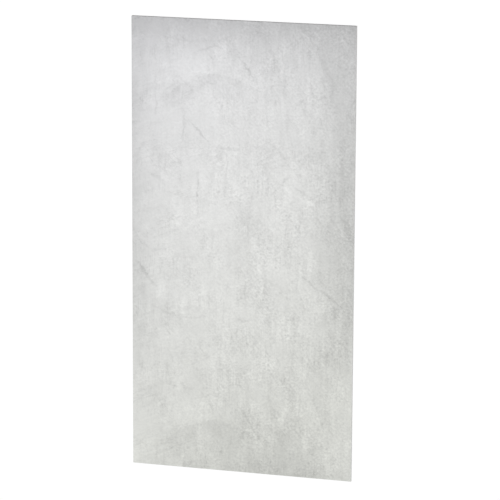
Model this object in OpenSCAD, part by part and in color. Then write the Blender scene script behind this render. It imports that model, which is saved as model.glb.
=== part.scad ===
// Hollow lay-in ceiling panel, extruded in rigid PVC and sawn to length.
// The cells run along Y and are open at both sawn ends. The decor face is up (+Z).
// The origin is at the middle of the underside.

/* [Panel] */
// Width across the cells, made to lie in a 600 mm grid module
panel_w = 595; // [150:5:1250]
// Length along the cells, made to lie in a 1200 mm grid module
panel_l = 1195; // [150:5:3000]
// Overall thickness
panel_t = 8; // [5:0.5:14]

/* [Hollow section] */
// Thickness of the skin that carries the decor
face_skin = 0.9; // [0.6:0.05:1.4]
// Thickness of the skin at the back
back_skin = 0.8; // [0.6:0.05:1.4]
// Thickness of the wall that closes each long side
side_wall = 1.4; // [0.8:0.1:3]
// Thickness of each web between two cells
web_t = 0.6; // [0.4:0.05:1.2]
// Spacing of the webs aimed for, before they are set out evenly across the width
web_spacing = 10; // [6:0.5:20]
// Fillet radius in the four corners of each cell
cell_r = 0.7; // [0.2:0.05:0.9]

/* [Edges] */
// Radius of the extruded corners along both long sides
corner_r = 0.5; // [0.2:0.05:0.75]

/* [Hidden] */

round_fn = 32; // Facets in a full turn of every fillet and corner

cells_w = panel_w - 2 * side_wall;                   // Width that the cells and webs share
cell_count = round((cells_w + web_t) / web_spacing); // Whole cells in that width
cell_step = (cells_w + web_t) / cell_count;          // Spacing of the cells as built
cell_w = cell_step - web_t;                          // Clear width of a cell
cell_h = panel_t - face_skin - back_skin;            // Clear height of a cell

// A rectangle from the origin, w wide and h high, with its corners rounded to radius r
module rounded_rect(w, h, r) {
    translate([r, 0]) square([w - 2 * r, h]);
    translate([0, r]) square([w, h - 2 * r]);
    for (x = [r, w - r], y = [r, h - r])
        translate([x, y]) circle(r = r, $fn = round_fn);
}

// The extruded section, with X across the panel and Y through its thickness
module hollow_section() {
    difference() {
        translate([-panel_w / 2, 0]) rounded_rect(panel_w, panel_t, corner_r);
        for (i = [0 : cell_count - 1])
            translate([-cells_w / 2 + i * cell_step, back_skin])
                rounded_rect(cell_w, cell_h, cell_r);
    }
}

// The section run along Y and sawn square at both ends
module ceiling_panel() {
    color([0.84, 0.84, 0.83])
        translate([0, panel_l / 2, 0])
            rotate([90, 0, 0])
                linear_extrude(height = panel_l) hollow_section();
}

ceiling_panel();
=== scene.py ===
import math

import bmesh
import bpy
from mathutils import Matrix, Vector


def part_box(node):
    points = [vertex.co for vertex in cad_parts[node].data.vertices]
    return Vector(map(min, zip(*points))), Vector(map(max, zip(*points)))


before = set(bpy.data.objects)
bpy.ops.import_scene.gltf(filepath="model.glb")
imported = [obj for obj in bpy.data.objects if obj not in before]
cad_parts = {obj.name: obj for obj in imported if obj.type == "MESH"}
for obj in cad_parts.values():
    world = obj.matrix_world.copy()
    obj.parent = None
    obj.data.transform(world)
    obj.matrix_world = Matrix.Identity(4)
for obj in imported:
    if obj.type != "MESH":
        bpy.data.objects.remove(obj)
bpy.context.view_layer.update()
panelLow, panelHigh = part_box("ceiling_panel")
panelSize = panelHigh - panelLow
print("frame loaded, panel", [round(side * 1000, 1) for side in panelSize], "mm")

scene = bpy.context.scene
scene.view_settings.view_transform = "Standard"
scene.view_settings.look = "None"


# camera: a long lens from high over the panel's +X, +Y corner

cameraPose = {
    "lens": 216.0,             # mm
    "sensor": 36.0,            # mm, width
    "clipEnd": 50.0,           # m
    "distance": 7.744,         # m from the aimed point
    "aim": (0.0218, 0.0023),   # aimed point on the face, m from its middle
    "turn": -15.84,            # degrees round Y, so that the +X side shows
    "tilt": 12.87,             # degrees round X, so that the +Y end shows
    "roll": -0.28,             # degrees in the picture
}


def makeCamera(pose):
    turning = (
        Matrix.Rotation(math.radians(pose["roll"]), 3, "Z")
        @ Matrix.Rotation(math.radians(pose["tilt"]), 3, "X")
        @ Matrix.Rotation(math.radians(pose["turn"]), 3, "Y")
    )
    facing = turning.transposed()
    aim = Vector((*pose["aim"], panelHigh.z))
    data = bpy.data.cameras.new("panelCamera")
    data.lens = pose["lens"]
    data.sensor_width = pose["sensor"]
    data.clip_end = pose["clipEnd"]
    camera = bpy.data.objects.new("panelCamera", data)
    place = aim + facing @ Vector((0, 0, pose["distance"]))
    camera.matrix_world = Matrix.Translation(place) @ facing.to_4x4()
    scene.collection.objects.link(camera)
    scene.camera = camera


makeCamera(cameraPose)
print("camera set")


# a shader node whose inputs are links or plain values
def addNode(tree, kind, inputs=None, **settings):
    node = tree.nodes.new("ShaderNode" + kind)
    for name, value in settings.items():
        setattr(node, name, value)
    for key, value in (inputs or {}).items():
        if isinstance(value, bpy.types.NodeSocket):
            tree.links.new(value, node.inputs[key])
        else:
            node.inputs[key].default_value = value
    return node


def maths(tree, operation, *values):
    return addNode(tree, "Math", dict(enumerate(values)), operation=operation).outputs[0]


# floor, backdrop and light

studio = {
    "floorSize": 60.0,         # m
    "floorTone": 0.12,
    "floorGlow": 0.92,         # with the light on it, this keeps the floor just white
    "domeRadius": 25.0,        # m
    "domeFacets": 48,          # round its middle, and half as many from pole to pole
    "domeTone": 0.0,
    "domeGlow": 1.0,
    "matt": 0.9,               # roughness of the floor and the dome
    "worldLight": 0.485,       # brightness of the surroundings
    "worldLean": (0.25, -0.90, 0.75),   # the surroundings brighten towards +X and +Z and darken towards +Y
}

# name, place, aimed at, size, power, in m and W
lamps = [
    ("softBox", (-0.23, 0.24, 0.70), (-0.23, 0.24, 0.0), 1.57, 5.2),
]


def addBackdrop(name, materialName, shape, tone, glow, roughness):
    mesh = bpy.data.meshes.new(name)
    shape.to_mesh(mesh)
    shape.free()
    backdrop = bpy.data.objects.new(name, mesh)
    scene.collection.objects.link(backdrop)
    material = bpy.data.materials.new(materialName)
    material.use_nodes = True
    shader = material.node_tree.nodes["Principled BSDF"]
    shader.inputs["Base Color"].default_value = (tone, tone, tone, 1)
    shader.inputs["Roughness"].default_value = roughness
    shader.inputs["Specular IOR Level"].default_value = 0.0
    shader.inputs["Emission Color"].default_value = (1, 1, 1, 1)
    shader.inputs["Emission Strength"].default_value = glow
    mesh.materials.append(material)
    return backdrop


def makeFloor(values):
    shape = bmesh.new()
    bmesh.ops.create_grid(shape, x_segments=1, y_segments=1, size=values["floorSize"] / 2)
    floor = addBackdrop(
        "studioFloor", "paleFloor", shape, values["floorTone"], values["floorGlow"], values["matt"]
    )
    floor.visible_diffuse = False   # its glow shows in gloss only, so the ends and sides keep their shade


# a pale dome for low views. Only the camera sees it, so it changes no light.
def makeDome(values):
    shape = bmesh.new()
    facets = values["domeFacets"]
    bmesh.ops.create_uvsphere(shape, u_segments=facets, v_segments=facets // 2, radius=values["domeRadius"])
    dome = addBackdrop(
        "studioDome", "paleDome", shape, values["domeTone"], values["domeGlow"], values["matt"]
    )
    dome.visible_diffuse = False
    dome.visible_glossy = False
    dome.visible_transmission = False
    dome.visible_shadow = False


def makeLight(name, place, target, size, power):
    data = bpy.data.lights.new(name, "AREA")
    data.shape = "SQUARE"
    data.size = size
    data.energy = power
    light = bpy.data.objects.new(name, data)
    light.location = place
    light.rotation_euler = (Vector(target) - Vector(place)).to_track_quat("-Z", "Y").to_euler()
    light.visible_camera = False
    scene.collection.objects.link(light)


def makeWorld(light, lean):
    world = bpy.data.worlds.new("studioWorld")
    world.use_nodes = True
    tree = world.node_tree
    background = tree.nodes["Background"]
    background.inputs["Color"].default_value = (light, light, light, 1)
    direction = addNode(tree, "TexCoord").outputs["Generated"]
    side = addNode(tree, "VectorMath", {0: direction, 1: lean}, operation="DOT_PRODUCT").outputs["Value"]
    strength = maths(tree, "MAXIMUM", maths(tree, "ADD", side, 1.0), 0.0)
    tree.links.new(strength, background.inputs["Strength"])
    scene.world = world


makeFloor(studio)
makeDome(studio)
makeWorld(studio["worldLight"], studio["worldLean"])
for lamp in lamps:
    makeLight(*lamp)
print("floor, backdrop and light set")


# the panel's finish: a printed, lacquered concrete decor over plain white PVC, with painted shade and light
# near the face's borders and painted shade in the mouths of the cells

panelFinish = {
    "coolColour": (0.645, 0.645, 0.659),   # the face's colour at its -X, +Y corner
    "warmColour": (0.642, 0.649, 0.613),   # and towards its -Y end
    "tintLean": (0.45, -0.85, 0),          # the way in which it turns warmer
    "tintRange": (-0.58, 0.45),            # about in m, from cool to warm along that way
    "decorRoughness": 0.48,
    "plainColour": (0.80, 0.80, 0.78),
    "plainRoughness": 0.40,
    "sawnColour": (0.66, 0.66, 0.64),
    "sawnRoughness": 0.75,
    "sawnFrom": 0.7,           # a face that points along the panel by more than this is a sawn end
    "roughnessSpread": 0.10,
    "cloudSize": (0.020, 0.040, 0.020),    # m, patches of slightly other gloss
    "paintedShadeReach": 0.006,       # m, how far in from the sawn ends painted shade darkens the bare plastic, as shade in the cells' mouths
    "paintedShadeLeft": 0.32,        # share of its colour that the painted shade leaves right at the ends
    "outerSkin": 0.0005,       # m, depth at the back and the long sides that stays light, free of the painted shade
    "printDepth": 0.0004,      # m, how far the print wraps down the rounded long corners
    "printRag": 0.0002,        # m, unevenness of the edge of the film
    "ragSize": 0.003,          # m, length of its waves
    "chipSize": 0.0025,        # m, about the length of the chips that the saw leaves in the film
    "chipFrom": 0.15,          # noise above this makes a chip
    "chipReach": 0.0015,       # m for a step of 1 in the noise, so the chips go in by about 0.5 mm at most
    "chipShift": (7, 0),       # m, moves the noise to a place of its own
    "cellCount": 59,
    "webSpan": 0.5928,         # m, from the first sink line to the last, which lie over the side walls
    "webReach": 0.0014,        # m, half the width of a sink line over a web
    "sinkDepth": (0.007, 0.016),   # mm, at the face and at the back
    "peelSize": 0.003,         # m, the fine waviness of the lacquer
    "peelAngle": 31,           # degrees
    "peelDepth": 0.0015,       # mm
    "drawnLine": (0.0016, 0.5, 0.0016),   # m, size of the lines that the extrusion die leaves
    "drawnDepth": 0.012,       # mm
    "drawnTone": 4.0,
    "sawLine": (0.0010, 0.05, 0.030),     # m, size of the marks of the saw
    "sawAngle": 18,            # degrees
    "sawDepth": 0.05,          # mm
    "heightUnit": 0.001,       # m for one step of height, so the heights are in mm
    "toneStep": 0.0105,        # share by which one step of tone changes the colour
    "printLoop": 0.920,        # m, length after which the trowel's marks repeat
    "loopStart": -0.328,       # m along the panel, where a whole loop begins
    "edgeWidth": 3.0,          # mm, over which a sweep turns dark at its line
    "shakeWide": (0.045, 0.012),   # m, size of the wander in the marks and how far it goes
    "shakeFine": (0.009, 0.009),
    "strokeFullness": 1.3,     # above 1, a stroke holds its tone over more of its length
    "strewnJitter": 0.8,       # 1 lets a strewn stroke lie anywhere in its cell
    "wearSize": 0.012,         # m, patches where the marks are stronger or worn away
    "wearNoise": 0.25,         # noise that gives the full range, either way
    "wearRange": (0.50, 1.40),     # strength of the marks, from worn to strong
    "busySize": 0.080,         # m, patches where the grain is stronger or calmer
    "busyGain": 1.5,
    "busyShift": (0, 5),       # m
    "grainAlong": (1.22, 0.80),    # strength of the grain at the -Y end and at the +Y end
    "grainFullAt": 0.05,       # m to the right of the middle, from where the grain has its +X strength
    "speckShift": 900,         # times the size of the specks
    "scratchThin": 0.03,       # noise this close to 0 draws a scratch
    "scratchPatch": 0.11,      # m, patches with and without scratches
    "scratchFade": (0.5, 0.38),    # below the bare share by these, a patch starts and is full
    "scratchShift": (0.37, 0.11),  # m for each degree of the angle
    "patchShift": (0.23, 0.17),
}

# painted shade towards the face's borders, laid into the print's colour: depth in tone, reach in m, power of
# the fall, share of the depth at the low end and at the high end of the border. It darkens, or is painted
# light below 0.
paintedBorderShading = {
    "left": (18, 0.055, 1.0, -0.9, 1.0),
    "right": (19, 0.096, 2.5, -1.2, 1.0),
    "top": (27, 0.078, 1.3, 1.0, 1.0),
    "bottom": (6, 0.090, 1.3, -0.6, 2.8),
}
# m along the panel, over which the painted shade of the long borders goes from its low share to its high
# one, and over which it fades again. The +Y end comes before it is gone.
sideShadeRange = (-0.60, -0.10)
sideShadeEnd = (0.40, 0.64)

# streak angle, length, width, tone, share at the -X side, share at the +X side.
# Sizes are in m and angles in degrees, here and in the next two lists.
grainLayers = [
    (0, 0.200, 0.200, 10, 1.0, 1.0),
    (37, 0.006, 0.006, 28, 0.35, 1.10),
    (86, 0.040, 0.022, 16, 0.70, 1.0),
    (92, 0.150, 0.045, 11, 0.80, 1.2),
    (88, 0.100, 0.012, 11, 0.4, 1.0),
    (25, 0.090, 0.010, 12, 1.0, 0.3),
    (-42, 0.040, 0.007, 11, 0.4, 1.0),
    (8, 0.036, 0.006, 9, 0.7, 0.9),
]

# size, angle, noise above which a speck shows, tone
speckSets = [
    (0.007, 52, 0.16, -22),
    (0.005, 23, 0.18, 18),
]

# fine scratches that wander over the whole face: angle, length, width, tone, about the share left bare
scratchSets = [
    (20, 0.120, 0.012, -7.0, 0.50),
    (-48, 0.100, 0.012, -7.0, 0.54),
    (92, 0.160, 0.010, -8.0, 0.48),
    (4, 0.140, 0.010, 6.0, 0.54),
]

# Trowel sweeps: arcs that are sharp along their line and fade out to their inside,
# or to their outside where the reach is below 0. In mm and degrees from the middle of the face:
# middle x and y, radius, first and last angle from +X, reach, tone.
trowelSweeps = {
    "archBrow": (5, 120, 350, 98, 134, 40, -8),
    "archCrown": (-115, 110, 350, 56, 96, 50, -7),
    "archFlank": (135, 350, 350, 168, 190, 16, -5),
    "longSweep": (-100, 430, 205, -15, 50, 20, -10),
    "rightSweep": (-60, 380, 290, 2, 40, -36, -10),
    "roundEnd": (-150, -25, 168, 225, 300, 10, -12),
    "lowBow": (-130, 825, 290, 240, 300, 10, -6),
}

strokeTones = {"pale": 7, "faint": -5, "firm": -8, "deep": -13}

# single trowel strokes that fade out all round: x, y, angle, length, width, in mm and degrees
trowelStrokes = {
    "pale": [
        (-140, 470, 0, 260, 120),       # a broad patch
        (150, 520, 90, 140, 10),
        (170, 440, 90, 110, 12),
        (125, 165, -40, 70, 10),        # the tail of the hook
        (180, 135, -20, 110, 16),
    ],
    "faint": [
        (0, 30, 90, 300, 160),          # this and the next three are broad patches
        (50, -95, 90, 200, 130),
        (25, 75, -45, 170, 80),
        (-270, -110, 90, 120, 50),
        (-190, 420, 30, 80, 12),        # under the arch
        (60, 415, 90, 120, 15),
    ],
    "firm": [
        (-95, 520, 20, 80, 8),          # two scratches that cross above the arch
        (-60, 525, -35, 50, 8),
        (110, 425, 90, 110, 18),
        (120, 335, 90, 90, 14),
        (105, 255, -50, 70, 12),
        (-230, 180, -35, 80, 18),
        (-185, 140, -10, 80, 6),
        (5, -185, 0, 90, 12),
    ],
    "deep": [
        (15, 470, -55, 120, 10),
        (-160, 310, 85, 120, 8),        # two long scratches that meet
        (-115, 305, -45, 120, 8),
        (-30, 265, 0, 80, 12),
        (-120, 150, 90, 170, 8),
        (115, 190, 50, 60, 12),         # the hook, in two strokes
        (160, 160, -30, 70, 10),
        (205, -90, -35, 190, 9),        # the long diagonal
        (-260, -80, -50, 110, 12),
        (265, -280, 90, 90, 6),
    ],
}

# short strokes strewn at random, at most one to a cell, in m and degrees:
# cell, length, width, angle, spread, share of cells, tone
strewnStrokes = [
    (0.060, 0.050, 0.007, 90, 40, 0.55, -10),
    (0.055, 0.046, 0.007, -35, 80, 0.50, -10),
    (0.070, 0.056, 0.012, 20, 80, 0.50, -8),
    (0.050, 0.038, 0.010, 90, 180, 0.45, 6),
]


# flat noise from -0.5 to 0.5 on the X, Y plane, turned round Z,
# or solid noise where the size has three values, turned round Y
def noise(tree, position, size, detail=1.0, roughness=0.6, angle=0, shift=(0, 0)):
    solid = len(size) == 3
    turn = math.radians(angle)
    placed = addNode(tree, "Mapping", {
        "Vector": position, "Location": (*shift, 0), "Rotation": (0, turn, 0) if solid else (0, 0, turn),
        "Scale": size if solid else (*size, 1),
    }, vector_type="TEXTURE").outputs[0]
    texture = addNode(tree, "TexNoise", {
        "Vector": placed, "Scale": 1.0, "Detail": detail, "Roughness": roughness,
    }, noise_dimensions="3D" if solid else "2D")
    return maths(tree, "SUBTRACT", texture.outputs[0], 0.5)


# first where the share is 0, second where it is 1
def blend(tree, share, first, second, kind="FLOAT"):
    node = addNode(tree, "Mix", data_type=kind)
    ending = kind.title()
    for name, value in (("Factor_Float", share), ("A_" + ending, first), ("B_" + ending, second)):
        socket = next(entry for entry in node.inputs if entry.identifier == name)
        if isinstance(value, bpy.types.NodeSocket):
            tree.links.new(value, socket)
        else:
            socket.default_value = value
    return next(entry for entry in node.outputs if entry.identifier == "Result_" + ending)


# goes from atLow to atHigh while the value goes from low to high, and holds outside them
def ramp(tree, value, low, high, atLow=0.0, atHigh=1.0):
    return addNode(tree, "MapRange", {
        "Value": value, "From Min": low, "From Max": high, "To Min": atLow, "To Max": atHigh,
    }).outputs[0]


# painted shade and light towards the face's borders, in steps of tone
def paintBorderShading(tree, sides, shade):
    fadeStart, fadeEnd = sideShadeEnd
    fade = ramp(tree, sides["Y"], fadeStart, fadeEnd, 1.0, 0.0)
    total = 0.0
    for name, axis, other, start, direction in (
        ("left", "X", "Y", panelLow.x, 1), ("right", "X", "Y", panelHigh.x, -1),
        ("top", "Y", "X", panelHigh.y, -1), ("bottom", "Y", "X", panelLow.y, 1),
    ):
        depth, reach, power, atLow, atHigh = shade[name]
        away = maths(tree, "MULTIPLY_ADD", sides[axis], direction / reach, -start * direction / reach)
        away = maths(tree, "POWER", maths(tree, "MAXIMUM", away, 0.0), power)
        fall = maths(tree, "EXPONENT", maths(tree, "MULTIPLY", away, -1.0))
        low, high = sideShadeRange if other == "Y" else (panelLow.x, panelHigh.x)
        strength = ramp(tree, sides[other], low, high, -depth * atLow, -depth * atHigh)
        if other == "Y":
            strength = maths(tree, "MULTIPLY", strength, fade)
        total = maths(tree, "MULTIPLY_ADD", fall, strength, total)
    return total


def scratches(tree, finish, position, angle, length, width, tone, bare):
    lineShift = [angle * step for step in finish["scratchShift"]]
    line = noise(tree, position, (length, width), detail=3.0, angle=angle, shift=lineShift)
    line = maths(tree, "DIVIDE", maths(tree, "ABSOLUTE", line), finish["scratchThin"])
    line = maths(tree, "MAXIMUM", maths(tree, "SUBTRACT", 1.0, line), 0.0)
    patchShift = [angle * step for step in finish["patchShift"]]
    where = noise(tree, position, (finish["scratchPatch"],) * 2, detail=2.0, shift=patchShift)
    start, full = finish["scratchFade"]
    where = ramp(tree, where, bare - start, bare - full)
    return maths(tree, "MULTIPLY", maths(tree, "MULTIPLY", line, where), tone)


# the place moved by 0 to reach along X and Y, at random
def shaken(tree, position, size, reach):
    texture = addNode(tree, "TexNoise", {
        "Vector": position, "Scale": 1 / size, "Detail": 1.0,
    }, noise_dimensions="2D")
    return addNode(tree, "VectorMath", {
        0: texture.outputs["Color"], 1: (reach, reach, 0), 2: position,
    }, operation="MULTIPLY_ADD").outputs[0]


# the place as seen from a mark, in parts of its length and width. The mark is given in mm.
def onMark(tree, position, x, y, angle, length, width):
    return addNode(tree, "Mapping", {
        "Vector": position, "Location": (x / 1000, y / 1000, 0),
        "Rotation": (0, 0, math.radians(angle)), "Scale": (length / 1000, width / 1000, 1),
    }, vector_type="TEXTURE").outputs[0]


# how much of an arc shows at a place, from 0 to 1. It works in mm.
def sweepCover(tree, position, edgeWidth, x, y, radius, start, end, reach):
    local = onMark(tree, position, x, y, (start + end) / 2, 1, 1)
    sides = addNode(tree, "SeparateXYZ", {0: local}).outputs
    away = addNode(tree, "VectorMath", {0: local}, operation="LENGTH").outputs["Value"]
    depth = maths(tree, "MULTIPLY_ADD", away, -1 / reach, radius / reach)
    rise = maths(tree, "MULTIPLY", depth, abs(reach) / edgeWidth)
    side = maths(tree, "MINIMUM", rise, maths(tree, "SUBTRACT", 1.0, depth))
    turn = maths(tree, "ARCTAN2", sides["Y"], sides["X"])
    turn = maths(tree, "DIVIDE", turn, math.radians(end - start) / 2)
    ends = maths(tree, "SUBTRACT", 1.0, maths(tree, "MULTIPLY", turn, turn))
    return maths(tree, "MULTIPLY", maths(tree, "MAXIMUM", side, 0.0), maths(tree, "MAXIMUM", ends, 0.0))


def strokeCover(tree, position, fullness, x, y, angle, length, width):
    placed = onMark(tree, position, x, y, angle, length / 2, width / 2)
    cover = addNode(tree, "TexGradient", {"Vector": placed}, gradient_type="SPHERICAL").outputs["Fac"]
    return maths(tree, "MINIMUM", maths(tree, "MULTIPLY", cover, fullness), 1.0)


def strewnTone(tree, finish, position, index, cell, length, width, angle, spread, share, tone):
    moved = addNode(tree, "VectorMath", {0: position, 1: (index, index, 0)}, operation="ADD").outputs[0]
    spots = addNode(tree, "TexVoronoi", {
        "Vector": moved, "Scale": 1 / cell, "Randomness": finish["strewnJitter"],
    }, voronoi_dimensions="2D").outputs
    chance = addNode(tree, "SeparateColor", {0: spots["Color"]}).outputs
    away = addNode(tree, "VectorMath", {0: moved, 1: spots["Position"]}, operation="SUBTRACT").outputs[0]
    turn = maths(tree, "MULTIPLY_ADD", chance[0], -math.radians(spread), math.radians(spread / 2 - angle))
    along = addNode(tree, "VectorRotate", {"Vector": away, "Angle": turn}, rotation_type="Z_AXIS").outputs[0]
    onStroke = addNode(tree, "VectorMath", {
        0: along, 1: (2 / length, 2 / width, 0),
    }, operation="MULTIPLY").outputs[0]
    cover = addNode(tree, "TexGradient", {"Vector": onStroke}, gradient_type="SPHERICAL").outputs["Fac"]
    strength = maths(tree, "MULTIPLY", maths(tree, "LESS_THAN", chance[1], share), chance[2])
    return maths(tree, "MULTIPLY", maths(tree, "MULTIPLY", cover, strength), tone)


# the trowel's marks repeat along the panel, and their lines wander a little
def drawMarks(tree, finish, position):
    sides = addNode(tree, "SeparateXYZ", {0: position}).outputs
    looped = maths(tree, "WRAP", sides["Y"], finish["loopStart"] + finish["printLoop"], finish["loopStart"])
    flat = addNode(tree, "CombineXYZ", {"X": sides["X"], "Y": looped}).outputs[0]
    # the wander only goes one way, so half of it is taken off first
    back = -sum(finish[name][1] for name in ("shakeWide", "shakeFine")) / 2
    flat = addNode(tree, "VectorMath", {0: flat, 1: (back, back, 0)}, operation="ADD").outputs[0]
    for name in ("shakeWide", "shakeFine"):
        flat = shaken(tree, flat, *finish[name])
    total = 0.0
    for *arc, tone in trowelSweeps.values():
        cover = sweepCover(tree, flat, finish["edgeWidth"], *arc)
        total = maths(tree, "MULTIPLY_ADD", cover, tone, total)
    for kind, strokes in trowelStrokes.items():
        for stroke in strokes:
            cover = strokeCover(tree, flat, finish["strokeFullness"], *stroke)
            total = maths(tree, "MULTIPLY_ADD", cover, strokeTones[kind], total)
    for index, values in enumerate(strewnStrokes):
        total = maths(tree, "ADD", total, strewnTone(tree, finish, flat, index, *values))
    wear = noise(tree, position, (finish["wearSize"],) * 2, detail=2.0)
    wear = ramp(tree, wear, -finish["wearNoise"], finish["wearNoise"], *finish["wearRange"])
    return maths(tree, "MULTIPLY", total, wear)


def drawDecor(tree, finish, position, sides):
    busy = noise(tree, position, (finish["busySize"],) * 2, shift=finish["busyShift"])
    busy = maths(tree, "MULTIPLY_ADD", busy, finish["busyGain"], 1.0)
    along = ramp(tree, sides["Y"], panelLow.y, panelHigh.y, *finish["grainAlong"])
    busy = maths(tree, "MULTIPLY", busy, along)
    grain = 0.0
    for index, (angle, length, width, depth, atLeft, atRight) in enumerate(grainLayers):
        layer = noise(tree, position, (length, width), detail=2.0, angle=angle, shift=(index, index * 2))
        strength = ramp(tree, sides["X"], panelLow.x, finish["grainFullAt"], atLeft * depth, atRight * depth)
        layer = maths(tree, "MULTIPLY", layer, strength)
        grain = maths(tree, "ADD", grain, layer)
    for size, angle, start, depth in speckSets:
        shift = (size * finish["speckShift"], 0)
        speck = noise(tree, position, (size, size), detail=0.0, angle=angle, shift=shift)
        speck = maths(tree, "MAXIMUM", maths(tree, "SUBTRACT", speck, start), 0.0)
        grain = maths(tree, "MULTIPLY_ADD", speck, depth, grain)
    for scratchSet in scratchSets:
        grain = maths(tree, "ADD", grain, scratches(tree, finish, position, *scratchSet))
    # the painted shade and light of the borders joins the grain's tone here
    tone = maths(tree, "MULTIPLY_ADD", grain, busy, paintBorderShading(tree, sides, paintedBorderShading))
    return maths(tree, "ADD", tone, drawMarks(tree, finish, position))


def tinted(tree, colour, tone, toneStep):
    shade = maths(tree, "MULTIPLY_ADD", tone, toneStep, 1.0)
    return addNode(tree, "VectorMath", {0: colour, "Scale": shade}, operation="SCALE").outputs[0]


# 1 where the film is: on the face and over its rounded long corners, less the chips along the sawn ends
def printedShare(tree, finish, position, sides, sawn):
    rag = noise(tree, position, (finish["ragSize"],) * 2, detail=2.0)
    height = maths(tree, "MULTIPLY_ADD", rag, finish["printRag"], sides["Z"])
    onFace = maths(tree, "GREATER_THAN", height, panelHigh.z - finish["printDepth"])
    chip = noise(tree, position, (finish["chipSize"],) * 2, detail=2.0, shift=finish["chipShift"])
    chip = maths(tree, "SUBTRACT", chip, finish["chipFrom"])
    edge = maths(tree, "MULTIPLY_ADD", chip, finish["chipReach"], maths(tree, "ABSOLUTE", sides["Y"]))
    inside = maths(tree, "LESS_THAN", edge, panelHigh.y)
    share = maths(tree, "MULTIPLY", onFace, inside)
    return maths(tree, "MULTIPLY", share, maths(tree, "SUBTRACT", 1.0, sawn))


# heights in mm: sink lines over the webs, waviness of the lacquer, die lines and saw marks
def surfaceHeight(tree, finish, position, sides, printed, sawn, drawn):
    half = finish["webSpan"] / finish["cellCount"] / 2
    web = maths(tree, "SUBTRACT", maths(tree, "PINGPONG", sides["X"], half), half - finish["webReach"])
    web = maths(tree, "MAXIMUM", maths(tree, "DIVIDE", web, finish["webReach"]), 0.0)
    atFace, atBack = finish["sinkDepth"]
    sink = maths(tree, "MULTIPLY", web, blend(tree, printed, atBack, atFace))
    peel = noise(tree, position, (finish["peelSize"],) * 2, detail=1.0, angle=finish["peelAngle"])
    plain = maths(tree, "MULTIPLY", drawn, finish["drawnDepth"])
    body = blend(tree, printed, plain, maths(tree, "MULTIPLY", peel, finish["peelDepth"]))
    marks = noise(tree, position, finish["sawLine"], detail=2.0, angle=finish["sawAngle"])
    marks = maths(tree, "MULTIPLY", marks, finish["sawDepth"])
    return blend(tree, sawn, maths(tree, "SUBTRACT", body, sink), marks)


# the bare plastic's colour, with painted shade in the cells' mouths: darker towards the sawn ends except on
# the back and the long sides.
# The painted shade darkens the plastic that shows in the film's chips too.
def paintCellShade(tree, finish, plain, sides):
    alongX = maths(tree, "ABSOLUTE", sides["X"])
    alongY = maths(tree, "ABSOLUTE", sides["Y"])
    start = panelHigh.y - finish["paintedShadeReach"]
    mouth = ramp(tree, alongY, start, panelHigh.y, 0.0, 1 - finish["paintedShadeLeft"])
    offSides = maths(tree, "LESS_THAN", alongX, panelHigh.x - finish["outerSkin"])
    offBack = maths(tree, "GREATER_THAN", sides["Z"], finish["outerSkin"])
    mouth = maths(tree, "MULTIPLY", mouth, maths(tree, "MULTIPLY", offSides, offBack))
    shade = maths(tree, "SUBTRACT", 1.0, mouth)
    return addNode(tree, "VectorMath", {0: plain, "Scale": shade}, operation="SCALE").outputs[0]


def makePanelMaterial(finish):
    material = bpy.data.materials.new("printedPvc")
    material.use_nodes = True
    tree = material.node_tree
    shader = tree.nodes["Principled BSDF"]
    place = addNode(tree, "TexCoord").outputs
    position = place["Object"]
    sides = addNode(tree, "SeparateXYZ", {0: position}).outputs
    outward = addNode(tree, "SeparateXYZ", {0: place["Normal"]}).outputs
    sawn = maths(tree, "GREATER_THAN", maths(tree, "ABSOLUTE", outward["Y"]), finish["sawnFrom"])
    printed = printedShare(tree, finish, position, sides, sawn)
    drawn = noise(tree, position, finish["drawnLine"], detail=3.0)

    slant = addNode(tree, "VectorMath", {0: position, 1: finish["tintLean"]}, operation="DOT_PRODUCT")
    warmth = ramp(tree, slant.outputs["Value"], *finish["tintRange"])
    decor = blend(tree, warmth, finish["coolColour"], finish["warmColour"], "VECTOR")
    decor = tinted(tree, decor, drawDecor(tree, finish, position, sides), finish["toneStep"])
    drawnTone = maths(tree, "MULTIPLY", drawn, finish["drawnTone"])
    plain = tinted(tree, finish["plainColour"], drawnTone, finish["toneStep"])
    # painted shade in the mouths of the cells
    plain = paintCellShade(tree, finish, plain, sides)
    colour = blend(tree, sawn, plain, finish["sawnColour"], "VECTOR")
    colour = blend(tree, printed, colour, decor, "VECTOR")
    tree.links.new(colour, shader.inputs["Base Color"])

    rough = blend(tree, sawn, finish["plainRoughness"], finish["sawnRoughness"])
    rough = blend(tree, printed, rough, finish["decorRoughness"])
    cloud = noise(tree, position, finish["cloudSize"], detail=3.0)
    rough = maths(tree, "MULTIPLY_ADD", cloud, finish["roughnessSpread"], rough)
    tree.links.new(rough, shader.inputs["Roughness"])

    height = surfaceHeight(tree, finish, position, sides, printed, sawn, drawn)
    bump = addNode(tree, "Bump", {"Height": height, "Distance": finish["heightUnit"], "Strength": 1.0})
    tree.links.new(bump.outputs[0], shader.inputs["Normal"])
    return material


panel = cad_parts["ceiling_panel"]
panel.data.materials.clear()
panel.data.materials.append(makePanelMaterial(panelFinish))
print("panel finished")
